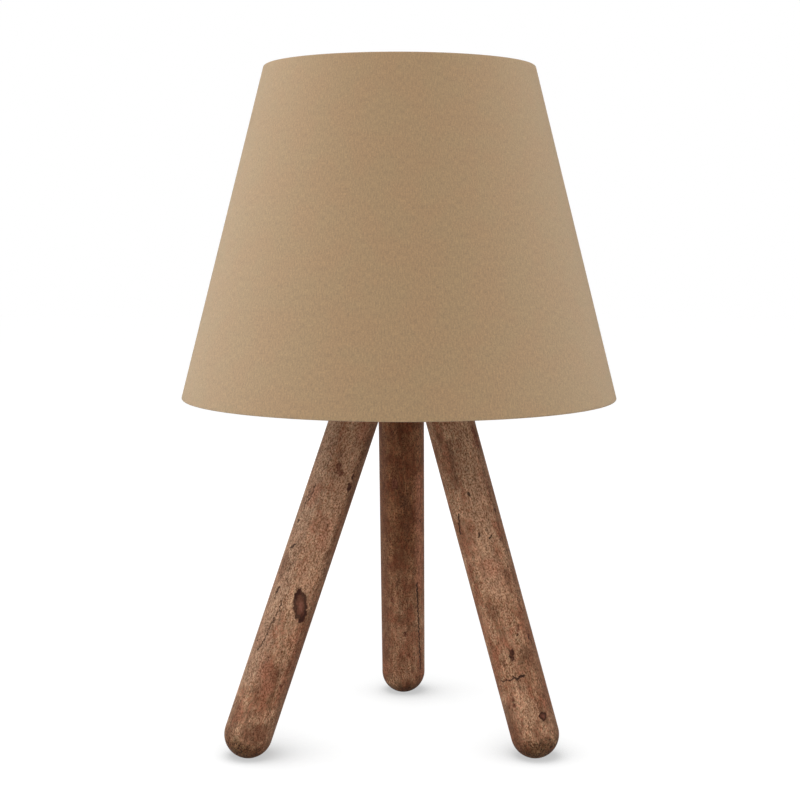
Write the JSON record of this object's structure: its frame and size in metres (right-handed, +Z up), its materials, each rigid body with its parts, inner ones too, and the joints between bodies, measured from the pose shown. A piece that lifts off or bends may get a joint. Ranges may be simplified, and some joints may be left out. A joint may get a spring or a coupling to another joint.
{
  "type": "tripod table lamp",
  "caption": "Small table lamp: leaning round wooden rod legs under a turned hub, screw lampholder with candle bulb, and a conical fabric shade on a dropped wire frame.",
  "frame": {"origin": "on the floor, on the axis of the shade, hub and lampholder", "axes": "+Z up along the lamp's axis; -Y is the front, the side between the left and the right leg, and +X is to the right seen from the front"},
  "size_m": [0.2196, 0.2196, 0.341],
  "materials": {
    "stained_wood": "brown stained and satin sealed, grain, knots and cracks showing",
    "tan_fabric": "fine matt plain weave in tan",
    "white_lining": "warm white stiff lining, slightly satin",
    "white_wire": "white powder coat on steel wire",
    "black_plastic": "black thermoset, semi-matt",
    "pale_ceramic": "unglazed off-white",
    "brass": "pressed brass",
    "zinc_steel": "zinc plated",
    "nickel": "nickel plated, rolled thread",
    "opal_glass": "smooth opal white",
    "white_plastic": "white, semi-matt"
  },
  "bodies": {
    "stand": {"leg_left": "stained_wood", "leg_back": "stained_wood", "leg_right": "stained_wood", "hub": "stained_wood", "leg_screw_left": "zinc_steel", "leg_screw_back": "zinc_steel", "leg_screw_right": "zinc_steel", "threaded_tube": "zinc_steel", "tube_nut": "zinc_steel", "washer_under": "zinc_steel", "washer_over": "zinc_steel", "cord_bush": "black_plastic", "lampholder_cap": "black_plastic", "cap_grub_screw": "zinc_steel", "lampholder_core": "pale_ceramic", "terminal_screw_live": "brass", "terminal_screw_neutral": "brass", "centre_contact": "brass", "screw_shell": "brass", "lampholder_skirt": "black_plastic"},
    "shade": {"shade_fabric": "tan_fabric", "shade_lining": "white_lining", "shade_bottom_ring": "white_wire", "shade_frame": "white_wire"},
    "shade_clamp": {"clamp_ring": "black_plastic"},
    "bulb": {"bulb_contact": "zinc_steel", "bulb_insulator": "black_plastic", "bulb_cap": "nickel", "bulb_collar": "white_plastic", "bulb_globe": "opal_glass"}
  },
  "joints": [
    {"name": "shade_lift", "type": "slide", "parent": "stand", "child": "shade", "axis": [0, 0, 1], "range_m": [0, 0.17]},
    {"name": "shade_ring_turn", "type": "hinge", "parent": "shade", "child": "shade_clamp", "pos_m": [0, 0, 0.247], "axis": [0, 0, 1], "continuous": true},
    {"name": "bulb_lift", "type": "slide", "parent": "stand", "child": "bulb", "axis": [0, 0, 1], "range_m": [0, 0.11]}
  ]
}
